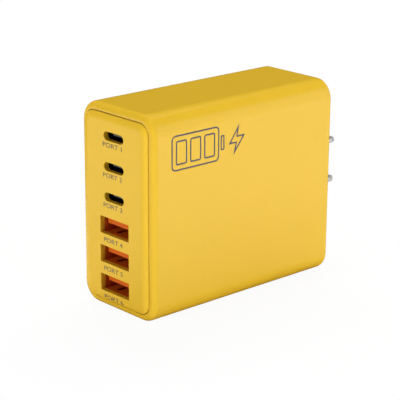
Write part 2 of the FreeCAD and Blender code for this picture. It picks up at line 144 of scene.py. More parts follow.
class NodeSheet:
    """A node tree, with short calls that add nodes and join them."""

    def __init__(self, tree: NodeTree) -> None:
        """Start on a tree."""
        self.tree = tree

    def add(self, kind: str, inputs: dict | None = None, **settings: object) -> Node:
        """Add a node.

        Args:
            kind: Blender's name for the type of node.
            inputs: A constant or another node's output for each named input.
            settings: Values of the node's own settings.

        Returns:
            The new node.
        """
        node = self.tree.nodes.new(kind)
        for key, value in settings.items():
            setattr(node, key, value)
        self.feed(node, inputs or {})
        return node

    def feed(self, node: Node, inputs: dict) -> None:
        """Give a node's inputs their constants or links.

        Args:
            node: The node to feed.
            inputs: A constant or another node's output for each named input.
        """
        for key, value in inputs.items():
            if isinstance(value, NodeSocket):
                self.tree.links.new(value, node.inputs[key])
            else:
                node.inputs[key].default_value = value

    def span(self, share: NodeSocket, low: float, high: float) -> NodeSocket:
        """Spread a share from 0 to 1 over a range.

        Args:
            share: The share to spread.
            low: The value at 0.
            high: The value at 1.

        Returns:
            The value in the range.
        """
        inputs = {"Value": share, "To Min": low, "To Max": high}
        return self.add("ShaderNodeMapRange", inputs).outputs["Result"]

    def about(self, share: NodeSocket, middle: float, spread: float) -> NodeSocket:
        """Spread a share from 0 to 1 evenly about a middle value."""
        return self.span(share, middle - spread, middle + spread)

    def between(self, value: NodeSocket, start: float, end: float) -> NodeSocket:
        """Find how far a value has come from one mark to another.

        Args:
            value: The value.
            start: The mark for 0.
            end: The mark for 1.

        Returns:
            The share from 0 to 1.
        """
        inputs = {"Value": value, "From Min": start, "From Max": end}
        return self.add("ShaderNodeMapRange", inputs, interpolation_type="SMOOTHSTEP").outputs["Result"]

    def times(self, one: NodeSocket, other: NodeSocket) -> NodeSocket:
        """The product of two values."""
        return self.add("ShaderNodeMath", {0: one, 1: other}, operation="MULTIPLY").outputs["Value"]

    def larger(self, one: NodeSocket, other: NodeSocket) -> NodeSocket:
        """The larger of two values."""
        return self.add("ShaderNodeMath", {0: one, 1: other}, operation="MAXIMUM").outputs["Value"]

    def along(self, place: NodeSocket, azimuth: float) -> NodeSocket:
        """Find how far a place or a direction reaches along a level heading.

        Args:
            place: The place or direction.
            azimuth: The heading in degrees round the charger.

        Returns:
            The length along the heading.
        """
        inputs = {0: place, 1: direction_from(azimuth, 0.0)}
        return self.add("ShaderNodeVectorMath", inputs, operation="DOT_PRODUCT").outputs["Value"]

    def ray_kinds(self) -> tuple[NodeSocket, NodeSocket]:
        """Tell the rays apart.

        Returns:
            Whether a ray comes from the camera, and whether it comes from a reflection or through glass.
        """
        rays = self.add("ShaderNodeLightPath").outputs
        return rays["Is Camera Ray"], self.larger(rays["Is Glossy Ray"], rays["Is Transmission Ray"])


class MaterialSheet(NodeSheet):
    """The node tree of a new material with one Principled shader, read from Object coordinates."""

    # A wave texture repeats every pi / (WAVE_RATE * scale).
    WAVE_RATE = 10.0

    def __init__(self, name: str) -> None:
        """Start the material.

        Args:
            name: The material's name.
        """
        self.material = bpy.data.materials.new(name)
        self.material.use_nodes = True
        super().__init__(self.material.node_tree)
        self.shader = self.tree.nodes["Principled BSDF"]
        self.place = self.add("ShaderNodeTexCoord").outputs["Object"]

    def stretched(self, axis: Axis, stretch: float) -> NodeSocket:
        """Object coordinates drawn out along one axis.

        Args:
            axis: The axis that a pattern is drawn out along.
            stretch: How many times longer the pattern gets.

        Returns:
            The stretched coordinates.
        """
        scale = [1.0, 1.0, 1.0]
        scale[axis.value] = 1.0 / stretch
        return self.add("ShaderNodeMapping", {"Vector": self.place, "Scale": scale}).outputs["Vector"]

    def noise(self, size: float, detail: float = 2.0, place: NodeSocket | None = None) -> NodeSocket:
        """Cloudy noise.

        Args:
            size: The size of its clouds in metres.
            detail: How many finer layers it holds.
            place: The coordinates it is read from, Object coordinates if none are given.

        Returns:
            The noise from 0 to 1.
        """
        inputs = {"Vector": place or self.place, "Scale": 1.0 / size, "Detail": detail}
        return self.add("ShaderNodeTexNoise", inputs).outputs["Fac"]

    def bands(self, pitch: float, axis: Axis) -> NodeSocket:
        """Even bands across an axis.

        Args:
            pitch: The distance from one band to the next in metres.
            axis: The axis that the bands follow each other along.

        Returns:
            A wave from 0 to 1.
        """
        inputs = {"Vector": self.place, "Scale": math.pi / (self.WAVE_RATE * pitch)}
        return self.add("ShaderNodeTexWave", inputs, bands_direction=axis.name).outputs["Fac"]

    def tint(self, share: NodeSocket, low: Colour, high: Colour, ends: Pair) -> NodeSocket:
        """Go from one colour to another.

        Args:
            share: How far to go, from 0 to 1.
            low: The first colour.
            high: The second colour.
            ends: The shares at which the two colours are reached.

        Returns:
            The mixed colour.
        """
        ramp = self.add("ShaderNodeValToRGB", {"Fac": share})
        for element, colour, end in zip(ramp.color_ramp.elements, (low, high), ends):
            element.color = (*colour, 1.0)
            element.position = end
        return ramp.outputs["Color"]

    def relief(self, height: NodeSocket, depth: float) -> NodeSocket:
        """Turn a pattern into a relief.

        Args:
            height: The pattern.
            depth: The relief's depth in metres.

        Returns:
            The bent normal.
        """
        return self.add("ShaderNodeBump", {"Height": height, "Distance": depth}).outputs["Normal"]

    def finish(self, **inputs: object) -> Material:
        """Set the shader's inputs, with underscores for the spaces in their names.

        Args:
            inputs: A constant or another node's output for each input.

        Returns:
            The finished material.
        """
        self.feed(self.shader, {key.replace("_", " "): value for key, value in inputs.items()})
        return self.material


def shaded(colour: Colour, share: float) -> Colour:
    """A colour made darker or lighter by a share."""
    return tuple(channel * share for channel in colour)


class Finish(Protocol):
    """Anything that makes a material."""

    def material(self, name: str) -> Material:
        """Make the material under a name."""


@dataclass(frozen=True)
class MouldedPlastic:
    """Injection-moulded plastic with the fine grain of its tool."""

    colour: Colour
    roughness: float
    grain: float = 0.22 * MM
    depth: float = 0.8 * MICRON
    mottling: float = 0.008
    cloud: float = 12.0 * MM
    cloud_detail: float = 3.0
    cloud_ends: Pair = (0.3, 0.7)
    spread: float = 0.03
    specular: float = 0.5

    def material(self, name: str) -> Material:
        """Make the material.

        Args:
            name: The material's name.

        Returns:
            The plastic, faintly mottled and grained.
        """
        sheet = MaterialSheet(name)
        clouds = sheet.noise(self.cloud, self.cloud_detail)
        grain = sheet.noise(self.grain)
        dark = shaded(self.colour, 1.0 - self.mottling)
        light = shaded(self.colour, 1.0 + self.mottling)
        return sheet.finish(Base_Color=sheet.tint(clouds, dark, light, self.cloud_ends),
                            Roughness=sheet.about(grain, self.roughness, self.spread),
                            Specular_IOR_Level=self.specular,
                            Normal=sheet.relief(grain, self.depth))


@dataclass(frozen=True)
class DrawnMetal:
    """Sheet metal with the fine lines of its rolling or brushing."""

    colour: Colour
    roughness: float
    lines: Axis = Axis.Y
    line: float = 0.06 * MM
    stretch: float = 40.0
    line_detail: float = 3.0
    depth: float = 0.5 * MICRON
    spread: float = 0.06
    tarnish: float = 3.0 * MM
    tarnish_detail: float = 4.0
    tarnish_shade: float = 0.9
    tarnish_ends: Pair = (0.3, 0.7)
    metallic: float = 1.0

    def material(self, name: str) -> Material:
        """Make the material.

        Args:
            name: The material's name.

        Returns:
            The metal with lines along one axis.
        """
        sheet = MaterialSheet(name)
        lines = sheet.noise(self.line, self.line_detail, sheet.stretched(self.lines, self.stretch))
        tarnish = sheet.noise(self.tarnish, self.tarnish_detail)
        dark = shaded(self.colour, self.tarnish_shade)
        return sheet.finish(Base_Color=sheet.tint(tarnish, dark, self.colour, self.tarnish_ends),
                            Metallic=self.metallic,
                            Roughness=sheet.about(lines, self.roughness, self.spread),
                            Normal=sheet.relief(lines, self.depth))


@dataclass(frozen=True)
class WoundTurns:
    """A winding: turns of wire or tape side by side, with painted shade in the grooves between them."""

    colour: Colour
    # The groove colour is painted shade: it darkens the grooves between the turns.
    groove_shade: Colour
    pitch: float
    along: Axis
    metallic: float
    roughness: Pair = (0.32, 0.42)
    groove_shade_ends: Pair = (0.0, 0.35)
    relief_share: float = 0.125

    def material(self, name: str) -> Material:
        """Make the material.

        Args:
            name: The material's name.

        Returns:
            Rounded turns with painted shade darkening the grooves between them.
        """
        sheet = MaterialSheet(name)
        turns = sheet.bands(self.pitch, self.along)
        return sheet.finish(Base_Color=sheet.tint(turns, self.groove_shade, self.colour, self.groove_shade_ends),
                            Metallic=self.metallic,
                            Roughness=sheet.span(sheet.noise(self.pitch), *self.roughness),
                            Normal=sheet.relief(turns, self.pitch * self.relief_share))


@dataclass(frozen=True)
class PrintedBoard:
    """A circuit board: solder resist over a pattern of copper tracks."""

    resist: Colour
    track: Colour
    pitch: float
    track_ends: Pair = (0.40, 0.44)
    depth: float = 20.0 * MICRON
    speckle: float = 0.5 * MM
    roughness: Pair = (0.32, 0.42)

    def material(self, name: str) -> Material:
        """Make the material.

        Args:
            name: The material's name.

        Returns:
            Resist that shows the tracks below it.
        """
        sheet = MaterialSheet(name)
        blocks = sheet.add("ShaderNodeTexVoronoi", {"Vector": sheet.place, "Scale": 1.0 / self.pitch},
                           distance="CHEBYCHEV").outputs["Distance"]
        return sheet.finish(Base_Color=sheet.tint(blocks, self.track, self.resist, self.track_ends),
                            Roughness=sheet.span(sheet.noise(self.speckle), *self.roughness),
                            Normal=sheet.relief(blocks, self.depth))


YELLOW: Colour = (0.80, 0.50, 0.028)

FINISHES: dict[Slot, Finish] = {
    Slot.SHELL: MouldedPlastic(YELLOW, 0.24, specular=0.64),
    Slot.PLATE: MouldedPlastic(YELLOW, 0.34, depth=1.2 * MICRON, specular=0.42),
    Slot.STEEL: DrawnMetal((0.56, 0.55, 0.53), 0.30),
    Slot.ORANGE: MouldedPlastic((0.62, 0.118, 0.008), 0.50, specular=0.15),
    Slot.BLACK: MouldedPlastic((0.10, 0.098, 0.095), 0.36),
    Slot.GOLD: DrawnMetal((0.78, 0.55, 0.20), 0.24),
    Slot.BLADE: DrawnMetal((0.74, 0.73, 0.71), 0.34, metallic=0.6),
    Slot.CARRIER: MouldedPlastic((0.018, 0.018, 0.019), 0.45, grain=0.3 * MM, depth=2.0 * MICRON),
    Slot.COPPER: DrawnMetal((0.72, 0.33, 0.17), 0.26),
    Slot.BOARD: PrintedBoard((0.010, 0.075, 0.030), (0.035, 0.17, 0.060), 3.0 * MM),
    Slot.FERRITE: MouldedPlastic((0.035, 0.034, 0.036), 0.62, grain=0.12 * MM, depth=4.0 * MICRON,
                                 mottling=0.2),
    # The tape's grooves carry painted shade between its turns.
    Slot.TAPE: WoundTurns((0.70, 0.46, 0.05), (0.42, 0.25, 0.02), 2.6 * MM, Axis.X, 0.0),
    Slot.FILTER_BOX: MouldedPlastic((0.62, 0.47, 0.10), 0.34),
    Slot.RESIN: MouldedPlastic((0.020, 0.075, 0.34), 0.28, mottling=0.08),
    Slot.SLEEVE: MouldedPlastic((0.014, 0.015, 0.022), 0.25, cloud=5.0 * MM),
    Slot.ALUMINIUM: DrawnMetal((0.80, 0.80, 0.80), 0.34, Axis.Z),
    Slot.PAD: MouldedPlastic((0.27, 0.29, 0.32), 0.75, grain=0.5 * MM, depth=8.0 * MICRON),
    Slot.FILM: MouldedPlastic((0.55, 0.22, 0.02), 0.18, depth=0.3 * MICRON),
}
# The wire's grooves carry painted shade between its turns.
WIRE = WoundTurns((0.74, 0.32, 0.12), (0.20, 0.06, 0.02), 0.5 * MM, Axis.Y, 1.0)
# Painted shade: the C ports' sleeves take a near-black metal instead of the socket steel, so that the
# insides of those ports look dark.
SHADE_PAINTED_SLEEVE = DrawnMetal((0.035, 0.035, 0.038), 0.34)
INK = MouldedPlastic((0.085, 0.080, 0.100), 0.5, grain=0.08 * MM, depth=0.4 * MICRON, mottling=0.06,
                     cloud=1.0 * MM)


class Wardrobe:
    """Makes each material once and hands it out."""

    def __init__(self) -> None:
        """Start with no materials."""
        self.made: dict[str, Material] = {}

    def give(self, name: str, finish: Finish) -> Material:
        """Get a material.

        Args:
            name: The material's name.
            finish: What makes it when it is asked for the first time.

        Returns:
            The material.
        """
        if name not in self.made:
            self.made[name] = finish.material("looks_" + name)
        return self.made[name]

    def dress(self, piece: Object, name: str, finish: Finish) -> None:
        """Give a piece one material all over.

        Args:
            piece: The piece to dress.
            name: The material's name.
            finish: What makes the material.
        """
        piece.data.materials.clear()
        piece.data.materials.append(self.give(name, finish))
        log.info("dressed %s in %s", piece.name, name)


@dataclass
class FrameSolids:
    """The solids that come with the frame, and the kinds that don't take the finish of their slot."""

    own: dict[str, tuple[str, Finish]] = field(default_factory=lambda: {
        "choke_windings": ("wire", WIRE),
        # The C sleeves take the near-black metal: painted shade for the insides of the C ports.
        "type_c_shell": ("shade_painted_sleeve", SHADE_PAINTED_SLEEVE),
    })

    def dress(self, wardrobe: Wardrobe) -> None:
        """Dress every solid.

        Args:
            wardrobe: What hands out the materials.
        """
        for name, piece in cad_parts.items():
            kind = name.rstrip("_0123456789")
            slot = Slot(piece.data.materials[0].name)
            wardrobe.dress(piece, *self.own.get(kind, (slot.value, FINISHES[slot])))


class Workpiece:
    """A mesh in the making, with the few operations that the mouldings need."""

    # Places closer than NEAR are the same. Edges from SHARP on stay sharp. Rims of openings are STEEP.
    NEAR = 1e-7
    SHARP = math.radians(28.0)
    STEEP = math.radians(60.0)

    def __init__(self) -> None:
        """Start empty."""
        self.bm = bmesh.new()

    def block(self, low: Vector, high: Vector) -> "Workpiece":
        """Add a box between two corners.

        Args:
            low: The lowest corner.
            high: The highest corner.

        Returns:
            The workpiece itself.
        """
        place = Matrix.Translation((low + high) / 2.0) @ Matrix.Diagonal((*(high - low), 1.0))
        bmesh.ops.create_cube(self.bm, size=1.0, matrix=place)
        return self

    def edges_along_depth(self) -> list[BMEdge]:
        """The edges that run along Y."""
        return [e for e in self.bm.edges
                if (e.verts[0].co - e.verts[1].co).xz.length < self.NEAR]

    def edges_at(self, y: float, least_angle: float = 0.0) -> list[BMEdge]:
        """Find the edges that lie in a plane across Y.

        Args:
            y: The plane's place.
            least_angle: The least angle between an edge's two faces.

        Returns:
            The edges in that plane.
        """
        return [e for e in self.bm.edges
                if all(abs(v.co.y - y) < self.NEAR for v in e.verts)
                and e.calc_face_angle(0.0) >= least_angle]

    def face_at(self, y: float) -> BMFace:
        """Find the largest face that lies in a plane across Y.

        Args:
            y: The plane's place.

        Returns:
            The face.
        """
        flat = [f for f in self.bm.faces if all(abs(v.co.y - y) < self.NEAR for v in f.verts)]
        return max(flat, key=lambda face: face.calc_area())

    def round_edges(self, edges: list[BMEdge], radius: float, steps: int) -> None:
        """Round edges.

        Args:
            edges: The edges to round.
            radius: The radius of the rounding.
            steps: How many facets the rounding has.
        """
        bmesh.ops.bevel(self.bm, geom=edges, offset=radius, offset_type="OFFSET", segments=steps,
                        profile=0.5, affect="EDGES", material=-1, clamp_overlap=True)

    def sink(self, y: float, margin: float, depth: float) -> None:
        """Sink a pocket into the face in a plane across Y.

        Args:
            y: The plane's place.
            margin: The land that is left round the pocket.
            depth: How far the pocket goes along +Y.
        """
        mouth = self.face_at(y)
        bmesh.ops.inset_region(self.bm, faces=[mouth], thickness=margin, use_even_offset=True)
        made = bmesh.ops.extrude_face_region(self.bm, geom=[mouth])
        floor = [item for item in made["geom"] if isinstance(item, BMVert)]
        bmesh.ops.delete(self.bm, geom=[mouth], context="FACES_ONLY")
        bmesh.ops.translate(self.bm, verts=floor, vec=(0.0, depth, 0.0))

    def crown(self, y: float, width: float, rise: float, steps: int) -> None:
        """Raise the face in a plane across Y in rings, so that its edge is a quarter of an ellipse.

        Args:
            y: The plane's place.
            width: How far in from the face's edge the curve reaches.
            rise: How far the face is raised.
            steps: How many rings the curve has.
        """
        top = self.face_at(y)
        angles = [math.pi / 2.0 * step / steps for step in range(steps + 1)]
        for low, high in zip(angles, angles[1:]):
            ring = width * (math.cos(low) - math.cos(high))
            lift = rise * (math.sin(high) - math.sin(low))
            bmesh.ops.inset_region(self.bm, faces=[top], thickness=ring, depth=lift, use_even_offset=True)

    def combine(self, tool: "Workpiece", join: Join) -> None:
        """Cut a tool out of the workpiece, or join it on.

        Args:
            tool: The other solid, which is used up.
            join: How the two are combined.
        """
        body = self.as_object("body")
        other = tool.as_object("tool")
        step = body.modifiers.new("step", "BOOLEAN")
        step.operation = join.value
        step.solver = "EXACT"
        step.object = other
        sight = bpy.context.evaluated_depsgraph_get()
        result = bpy.data.meshes.new_from_object(body.evaluated_get(sight))
        self.bm.clear()
        self.bm.from_mesh(result)
        bmesh.ops.remove_doubles(self.bm, verts=self.bm.verts, dist=self.NEAR)
        used = [result, body.data, other.data]
        bpy.data.objects.remove(body)
        bpy.data.objects.remove(other)
        for mesh in used:
            bpy.data.meshes.remove(mesh)

    def as_object(self, name: str) -> Object:
        """Put a copy of the mesh into the scene.

        Args:
            name: The object's name.

        Returns:
            The object that holds it.
        """
        mesh = bpy.data.meshes.new(name)
        self.bm.to_mesh(mesh)
        return linked(name, mesh)

    def piece(self, name: str, slot: Slot) -> Object:
        """Finish the mesh as a piece of the charger, smooth except at its sharp edges.

        Args:
            name: The piece's name.
            slot: The record's slot that its finish belongs to; it is not used.

        Returns:
            The piece, riding on the frame.
        """
        for face in self.bm.faces:
            face.smooth = True
        for edge in self.bm.edges:
            edge.smooth = edge.calc_face_angle(0.0) < self.SHARP
        piece = self.as_object(name)
        self.bm.free()
        even = piece.modifiers.new("even_normals", "WEIGHTED_NORMAL")
        even.keep_sharp = True
        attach(piece, BODY)
        log.info("built %s: %d faces", name, len(piece.data.polygons))
        return piece


@dataclass
class SnapTabs:
    """The four tabs that hold the port plate, with the hooks, recesses and stops that belong to them."""

    plate: "PortPlate"
    wall: float = 1.0 * MM
    length: float = 4.5 * MM
    width: float = 8.0 * MM
    spacing: float = 30.0 * MM
    hook_height: float = 0.5 * MM
    hook_length: float = 1.6 * MM
    hook_width: float = 6.0 * MM
    clearance: float = 0.15 * MM
    stop_depth: float = 0.9 * MM
    stop_length: float = 3.0 * MM
    root: float = 0.4 * MM

    def __post_init__(self) -> None:
        """Find the plate's side and rear face, the housing's inner wall and the tabs' ends."""
        housing = self.plate.housing
        self.cavity = housing.high.x - housing.wall
        self.side = self.plate.high.x
        self.rear = self.plate.rear
        self.end = self.rear + self.length

    def blocks(self, x: Pair, y: Pair, width: float) -> Workpiece:
        """Make a block at each of the four places.

        Args:
            x: How far the block's two sides are from the middle plane.
            y: The block's two ends along the depth.
            width: The block's width along the height.

        Returns:
            The four blocks, two on each broad side.
        """
        low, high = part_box("main_shell")
        middle = (low.z + high.z) / 2.0
        made = Workpiece()
        for z in (middle - self.spacing / 2.0, middle + self.spacing / 2.0):
            near = Vector((x[0], y[0], z - width / 2.0))
            far = Vector((x[1], y[1], z + width / 2.0))
            made.block(near, far)
            made.block(Vector((-far.x, near.y, near.z)), Vector((-near.x, far.y, far.z)))
        return made

    def tabs(self) -> Workpiece:
        """The four tabs behind the plate."""
        return self.blocks((self.side - self.wall, self.side), (self.rear - self.root, self.end), self.width)

    def hooks(self) -> Workpiece:
        """Make the hooks on the tabs, which slope down towards the tabs' ends.

        Returns:
            The four hooks.
        """
        end = self.end - self.clearance
        made = self.blocks((self.side - self.root, self.side + self.hook_height),
                           (end - self.hook_length, end), self.hook_width)
        for vert in made.bm.verts:
            if abs(vert.co.x) > self.side and abs(vert.co.y - end) < made.NEAR:
                vert.co.x = math.copysign(self.side, vert.co.x)
        return made

    def recesses(self) -> Workpiece:
        """The cutting tools for the four recesses that the hooks snap into."""
        side = self.cavity - self.plate.gap
        return self.blocks((side, side + self.hook_height + self.clearance),
                           (self.end - self.hook_length - 2.0 * self.clearance, self.end),
                           self.hook_width + 2.0 * self.clearance)

    def stops(self) -> Workpiece:
        """The four ribs on the housing's walls that stop the tabs."""
        return self.blocks((self.cavity - self.stop_depth, self.cavity + self.root),
                           (self.end, self.end + self.stop_length), self.width)


@dataclass
class Housing:
    """The deep moulded cup that holds everything, open at the port side."""

    wall: float = 2.1 * MM
    rear_wall: float = 2.4 * MM
    corner_radius: float = 5.8 * MM
    front_edge: float = 1.9 * MM
    rear_edge: float = 1.2 * MM
    slot_clearance: float = 0.1 * MM
    slot_edge: float = 0.08 * MM
    rail_width: float = 1.2 * MM
    rail_height: float = 1.5 * MM
    rail_clearance: float = 0.1 * MM
    seat_wall: float = 1.0 * MM
    seat_height: float = 3.0 * MM
    seat_clearance: float = 0.1 * MM
    root: float = 0.5 * MM
    corner_steps: int = 20
    edge_steps: int = 8
    slot_steps: int = 2
    piece: Object = field(init=False)

    def __post_init__(self) -> None:
        """Read the housing's box and the depth of its cavity from the frame."""
        self.low, self.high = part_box("main_shell")
        self.inner = self.high.y - self.rear_wall

    def build(self, tabs: SnapTabs) -> None:
        """Model the piece that stands for the housing's solid.

        Args:
            tabs: The tabs that its recesses and stops belong to.
        """
        cup = Workpiece().block(self.low, self.high)
        cup.round_edges(cup.edges_along_depth(), self.corner_radius, self.corner_steps)
        cup.round_edges(cup.edges_at(self.low.y), self.front_edge, self.edge_steps)
        cup.round_edges(cup.edges_at(self.high.y), self.rear_edge, self.edge_steps)
        cup.sink(self.low.y, self.wall - self.front_edge, self.inner - self.low.y)
        cup.combine(self.rails(), Join.FUSE)
        cup.combine(tabs.stops(), Join.FUSE)
        cup.combine(tabs.recesses(), Join.CUT)
        cup.combine(self.seat(self.seat_clearance + self.seat_wall, self.root), Join.FUSE)
        cup.combine(self.seat(self.seat_clearance, 0.0), Join.CUT)
        cup.combine(self.slots(), Join.CUT)
        cup.round_edges(cup.edges_at(self.high.y, cup.STEEP), self.slot_edge, self.slot_steps)
        piece = cup.piece("housing", Slot.SHELL)
        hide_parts("main_shell")
        self.piece = piece

    def dress(self, wardrobe: Wardrobe) -> None:
        """Give the housing the shell's finish."""
        wardrobe.dress(self.piece, "shell", FINISHES[Slot.SHELL])

    def rails(self) -> Workpiece:
        """Make the ribs on the floor and the roof that hold the main board's edges.

        Returns:
            The four rails.
        """
        made = Workpiece()
        board_low, board_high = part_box("main_board")
        floor = self.low.z + self.wall
        roof = self.high.z - self.wall
        for x in (board_low.x - self.rail_clearance - self.rail_width, board_high.x + self.rail_clearance):
            for z0, z1 in ((floor - self.root, floor + self.rail_height),
                           (roof - self.rail_height, roof + self.root)):
                made.block(Vector((x, board_low.y, z0)),
                           Vector((x + self.rail_width, self.inner + self.root, z1)))
        return made

    def seat(self, margin: float, root: float) -> Workpiece:
        """Make a block round the blade carrier's place on the rear wall.

        Args:
            margin: How much larger than the carrier it is on each side.
            root: How far it goes into the rear wall.

        Returns:
            The block.
        """
        low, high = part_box("blade_carrier")
        return Workpiece().block(Vector((low.x - margin, self.inner - self.seat_height, low.z - margin)),
                                 Vector((high.x + margin, self.inner + root, high.z + margin)))

    def slots(self) -> Workpiece:
        """Make the cutting tool for the blades' slots in the rear wall.

        Returns:
            The two tools.
        """
        made = Workpiece()
        gap = self.slot_clearance
        for name in ("blade_upper", "blade_lower"):
            low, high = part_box(name)
            made.block(Vector((low.x - gap, self.inner - self.root, low.z - gap)),
                       Vector((high.x + gap, self.high.y + self.root, high.z + gap)))
        return made


@dataclass
class PortPlate:
    """The proud plate with its pillowed edge and the six openings, set in the housing's mouth."""

    housing: Housing
    gap: float = 0.2 * MM
    thickness: float = 1.6 * MM
    pillow: float = 2.3 * MM
    opening_edge: float = 0.12 * MM
    type_a_size: Pair = (12.5 * MM, 5.1 * MM)
    type_a_corner: float = 0.15 * MM
    type_c_size: Pair = (8.6 * MM, 2.6 * MM)
    ports: tuple[int, ...] = (1, 2, 3)
    overshoot: float = 1.0 * MM
    corner_steps: int = 16
    edge_steps: int = 8
    type_a_steps: int = 3
    type_c_steps: int = 12
    opening_steps: int = 3
    piece: Object = field(init=False)

    def __post_init__(self) -> None:
        """Read the plate's front from the frame and fit the plate to the housing's mouth."""
        inset = self.housing.wall + self.gap
        margin = Vector((inset, 0.0, inset))
        self.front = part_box("port_plate")[0].y
        self.rear = self.front + self.thickness
        self.low = self.housing.low + margin
        self.high = Vector((self.housing.high.x, self.rear, self.housing.high.z)) - margin
        self.corner_radius = self.housing.corner_radius - inset
        self.rise = self.low.y - self.front
        self.flat_foot = self.low.z + self.pillow

    def build(self, tabs: SnapTabs) -> None:
        """Model the piece that stands for the plate's solid.

        Args:
            tabs: The tabs behind it.
        """
        plate = Workpiece().block(self.low, self.high)
        plate.round_edges(plate.edges_along_depth(), self.corner_radius, self.corner_steps)
        plate.crown(self.low.y, self.pillow, self.rise, self.edge_steps)
        round_end = self.type_c_size[1] / 2.0 - plate.NEAR
        for kind, size, corner, steps in (
                ("type_a_insulator", self.type_a_size, self.type_a_corner, self.type_a_steps),
                ("type_c_insulator", self.type_c_size, round_end, self.type_c_steps)):
            plate.combine(self.openings(kind, size, corner, steps), Join.CUT)
        plate.round_edges(plate.edges_at(self.front, plate.STEEP), self.opening_edge, self.opening_steps)
        plate.combine(tabs.tabs(), Join.FUSE)
        plate.combine(tabs.hooks(), Join.FUSE)
        piece = plate.piece("plate", Slot.PLATE)
        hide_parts("port_plate")
        self.piece = piece

    def dress(self, wardrobe: Wardrobe) -> None:
        """Give the plate its finish."""
        wardrobe.dress(self.piece, "plate", FINISHES[Slot.PLATE])

    def set_back(self, height: float) -> float:
        """Find how far the plate's lower edge has curved back at a height.

        Args:
            height: The height above the floor.

        Returns:
            The distance behind the plate's flat front.
        """
        below = max(self.flat_foot - height, 0.0) / self.pillow
        return self.rise * (1.0 - math.sqrt(1.0 - below ** 2))

    def openings(self, kind: str, size: Pair, corner: float, steps: int) -> Workpiece:
        """Make the cutting tool for one kind of opening.

        Args:
            kind: The node, without its number, that sits behind each opening.
            size: The opening's width and height.
            corner: The radius of its corners.
            steps: How many facets each corner has.

        Returns:
            The tools, one for each port.
        """
        made = Workpiece()
        for number in self.ports:
            low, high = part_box(f"{kind}_{number}")
            middle = (low.z + high.z) / 2.0
            half = Vector((size[0] / 2.0, 0.0, size[1] / 2.0))
            made.block(Vector((0.0, self.front - self.overshoot, middle)) - half,
                       Vector((0.0, self.rear + self.overshoot, middle)) + half)
        made.round_edges(made.edges_along_depth(), corner, steps)
        return made


class Side(Enum):
    """The faces that carry print, each with its rightward, upward and outward directions."""

    PORTS = (Vector((1.0, 0.0, 0.0)), Vector((0.0, 0.0, 1.0)), Vector((0.0, -1.0, 0.0)))
    BROAD = (Vector((0.0, 1.0, 0.0)), Vector((0.0, 0.0, 1.0)), Vector((1.0, 0.0, 0.0)))

    def frame(self, corner: Vector) -> Matrix:
        """The turn and move that bring a flat drawing to a corner on this face."""
        return Matrix.Translation(corner) @ Matrix(self.value).transposed().to_4x4()


@dataclass(frozen=True)
class Sign:
    """A flat outline: the corners round it, taken anticlockwise, and how far each corner is rounded."""

    name: str
    corners: tuple[Pair, ...]
    rounding: float = 0.0


def rectangle(low: Pair, size: Pair) -> tuple[Pair, ...]:
    """Find the corners of a rectangle.

    Args:
        low: The lower left corner.
        size: The width and the height.

    Returns:
        The four corners, taken anticlockwise.
    """
    right = low[0] + size[0]
    top = low[1] + size[1]
    return (low, (right, low[1]), (right, top), (low[0], top))


